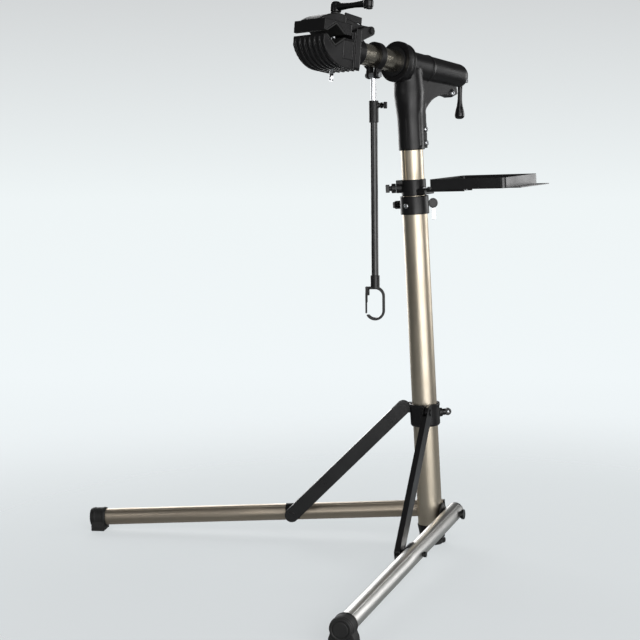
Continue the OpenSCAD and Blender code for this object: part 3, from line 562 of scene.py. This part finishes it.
knob = turned("crank_knob_turned", [(7, -0.7), (8.5, 0.2), (8.5, 1.8), (3.2, 2.2), (3.2, 15.6), (9.2, 16.1),
                                    (10.5, 17), (10.4, 19), (9, 20.8), (6, 21.8), (0.1, 22)], knob_at)
hand_over(knob, "crank_knob", "moulded_black", "crank_knob")

# %% [markdown]
# ## Levers and knobs
# The clamp lever is a club that swells at its end to fill the hand. It is turned, and melted into the eye
# that its pin goes through.

# %% Clamp lever
lever_at = arm @ Matrix.Translation(arm.inverted() @ Vector(joint["head_lever_swing"]["pos_m"]))
hang = radians(4)       # the lever hangs a little off square to the arm
lever_at = lever_at @ Matrix.Rotation(hang, 4, "Y")
club = [(0.1, -76.8), (4.5, -76.4), (8.4, -74.6), (10.3, -71), (10.2, -66), (8.6, -58), (6.4, -50), (5, -40),
        (4.6, -28), (5, -14), (5.2, -4)]
ears = turned("lever_eye", [(6.6, -5.1), (7.5, -4.2), (7.5, 4.2), (6.6, 5.1)], lever_at @ SIDEWAYS)
lever = fused(joined(turned("head_lever_club", club, lever_at), ears), 0.55, 6)
hand_over(lever, "head_lever", "moulded_black", "head_lever")

# %% [markdown]
# The tray knob and the rod screw have a flat wing on a fluted barrel, so that fingers can turn them hard. The
# quick release has a fluted nut at one end of its skewer, and at the other a flat lever on a black barrel.

# %% Knobs with wings, the round nut and the quick release
def winged(name, joint_name, barrel, wings, body, node):
    """A fluted barrel with two flat wings, on a joint's axis."""
    at = upright(joint_name)
    core = fluted(turned(f"{name}_barrel", barrel, at, 48), at, barrel[1][1], barrel[2][1], 12, 0.5)
    low, high = wings
    blade = block(f"{name}_blade", low, high, at, 1.2)
    made = joined(core, blade)
    made.name = name
    return hand_over(made, body, "moulded_black", node)


tray_barrel = [(8.6, -4.5), (9.5, -3.6), (9.5, 3.6), (8.4, 4.5), (5, 5), (5, 9)]
tray_wings = ((-8, -2.3, 8), (8, 2.3, 16))
winged("tray_wing_knob", "tray_knob_turn", tray_barrel, tray_wings, "tray_knob", "tray_knob")
rod_barrel = [(4.8, -7), (5.5, -6.4), (5.5, -3), (4.6, -2.4), (3.4, -2), (3.4, 0)]
rod_wings = ((-6.5, -2, -1), (6.5, 2, 6.2))
winged("rod_wing_screw", "rod_screw_turn", rod_barrel, rod_wings, "rod_screw", "rod_screw")
nut_at = upright("skewer_knob_turn")
nut_sides = [(7, -7.5), (8, -6.6), (8, 3.6), (7.2, 5), (6, 5.6), (6, 8), (4.8, 9), (0.1, 9.2)]
nut = turned("skewer_nut", nut_sides, nut_at)
hand_over(fluted(nut, nut_at, -6.6, 3.6, 12, 0.5), "skewer_knob", "moulded_black", "skewer_knob")
rounded("top_lever", 0.5)
barrel_at = upright("top_lever_swing")
barrel = turned("lever_barrel", [(8.4, -8.6), (9.4, -7.6), (9.4, 7.6), (8.4, 8.6)], barrel_at)
hand_over(fluted(barrel, barrel_at, -7.6, 7.6, 10, 0.5), "top_lever", "moulded_black")

# %% [markdown]
# ## Rubber feet
# Each foot cap grips the tube with two raised bands, and its skirt spreads to a flat sole on the floor.

# %% Foot caps
band_places = (694, 714)            # millimetres from the hinge of the leg to each band
for side in ("left", "right"):
    bands = []
    for i, x in enumerate(band_places):
        band = [(19.4, x - 2.4), (20.9, x - 1.4), (20.9, x + 1.4), (19.4, x + 2.4)]
        bands.append(turned(f"foot_band_{side}_{i}", band, leg[side] @ FORWARD))
    rounded(f"foot_cap_{side}", 0.7, 4, bands)

# %% [markdown]
# ## Studio
# The floor is a pale sheet whose rim fades away, so no edge or horizon shows behind the stand. The walls are
# pale to the eye and dim in reflections, and one broad softbox beside the camera lights the tubes. Each round
# tube then shows a bright band between two dark edges, which is what makes it read as metal. Weaker boxes
# light the front, the arm, the back, the side and the top.

# %% Floor
# the standard view shows each finish in the colour that its hex code names
bpy.context.scene.view_settings.view_transform = "Standard"

bpy.ops.object.select_all(action="DESELECT")
fade_from, fade_to, sheet_edge = 0.6, 1.9, 2.2          # metres from the mast
paper_weight = 0.35     # how much of the sheet shows over the pale wall behind it
bpy.ops.mesh.primitive_circle_add(vertices=96, radius=sheet_edge, fill_type="NGON")
floor = bpy.context.object
floor.name = "floor"
floor_finish, tree, shader, where = surface("studio_floor_paper", "eef3f5", 0.0, 0.9)
tree.links.new(two_tone(tree, grain(tree, where, 400), "eef3f5", "eaeff1"), shader.inputs["Base Color"])
length = add(tree, "ShaderNodeVectorMath", {0: where}, operation="LENGTH")
reach_of_fade = {"Value": length.outputs["Value"], "From Min": fade_from, "From Max": fade_to,
                 "To Min": paper_weight, "To Max": 0.0}
fade = add(tree, "ShaderNodeMapRange", reach_of_fade, interpolation_type="SMOOTHSTEP")
tree.links.new(fade.outputs["Result"], shader.inputs["Alpha"])
coat(floor, floor_finish)
print("floor fades out between", fade_from, "and", fade_to, "m from the mast")

# %% [markdown]
# The walls are a sky whose shade changes with height only. A ray from the eye sees them pale. Any other ray
# finds them dim, so the black castings stay black and the tubes keep their dark edges.

# %% Walls
world = bpy.data.worlds.new("studio")
bpy.context.scene.world = world
world.use_nodes = True
tree = world.node_tree
sky = tree.nodes["Background"]
upward = add(tree, "ShaderNodeSeparateXYZ", {"Vector": add(tree, "ShaderNodeTexCoord").outputs["Generated"]})
walls = add(tree, "ShaderNodeMapRange", {"Value": upward.outputs["Z"], "From Min": -0.45, "From Max": 0.25})
ramp = add(tree, "ShaderNodeValToRGB", {"Fac": walls.outputs["Result"]})
shades = ((0.0, "d4d8da"), (0.2, "dde1e3"), (0.46, "f1f7f9"), (0.62, "eff5f6"), (0.84, "cdcfd0"))
while len(ramp.color_ramp.elements) < len(shades):
    ramp.color_ramp.elements.new(0.5)
for stop, (place, shade) in zip(ramp.color_ramp.elements, shades):
    stop.position, stop.color = place, linear(shade)
seen = add(tree, "ShaderNodeLightPath").outputs["Is Camera Ray"]
IN_REFLECTIONS = 0.13       # how bright the walls are to every ray but the eye's own
dimmed = add(tree, "ShaderNodeMapRange", {"Value": seen, "To Min": IN_REFLECTIONS, "To Max": 1.0})
tree.links.new(ramp.outputs["Color"], sky.inputs["Color"])
tree.links.new(dimmed.outputs["Result"], sky.inputs["Strength"])
print("walls in", len(shades), "shades")

# %% [markdown]
# Soft light comes from broad area lights. Each is placed by its direction round the mast in degrees, its
# distance and height in metres, its size and its power in watts.

# %% Softboxes
STAND_MIDDLE = Vector((0.1, 0, 0.7))


def softbox(name, azimuth, distance, height, size, power):
    """A square area light that faces the stand's middle; the camera does not see the box itself."""
    data = bpy.data.lights.new(name, "AREA")
    data.shape, data.size, data.energy = "SQUARE", size, power
    made = bpy.data.objects.new(name, data)
    bpy.context.scene.collection.objects.link(made)
    made.location = (distance * cos(radians(azimuth)), distance * sin(radians(azimuth)), height)
    made.rotation_euler = (STAND_MIDDLE - made.location).to_track_quat("-Z", "Y").to_euler()
    made.visible_camera = False


softbox("key", 86, 2.8, 0.95, 2.4, 56)
softbox("front", 60, 3.4, 0.5, 1.6, 22)
softbox("arm_side", 10, 3.0, 1.1, 0.8, 7)
softbox("back", 262, 3.0, 1.2, 2.4, 60)
softbox("side", 172, 2.8, 1.0, 1.4, 24)
softbox("top", 60, 3.2, 3.2, 1.6, 16)

# %% [markdown]
# The camera stands at eye level for someone seated, three metres away, and looks down a little. A long lens
# keeps the tubes parallel.

# %% Camera
camera_spot = Vector((1.854, 2.527, 0.754))
camera_heading, camera_dip = radians(-122.08), radians(5.386)
camera = bpy.data.objects.new("camera", bpy.data.cameras.new("camera"))
bpy.context.scene.collection.objects.link(camera)
camera.location = camera_spot
camera.rotation_euler = (pi / 2 - camera_dip, 0, camera_heading - pi / 2)
camera.data.lens = 87.2
bpy.context.scene.camera = camera
print("camera stands", round(camera_spot.length, 2), "m from the foot of the mast")
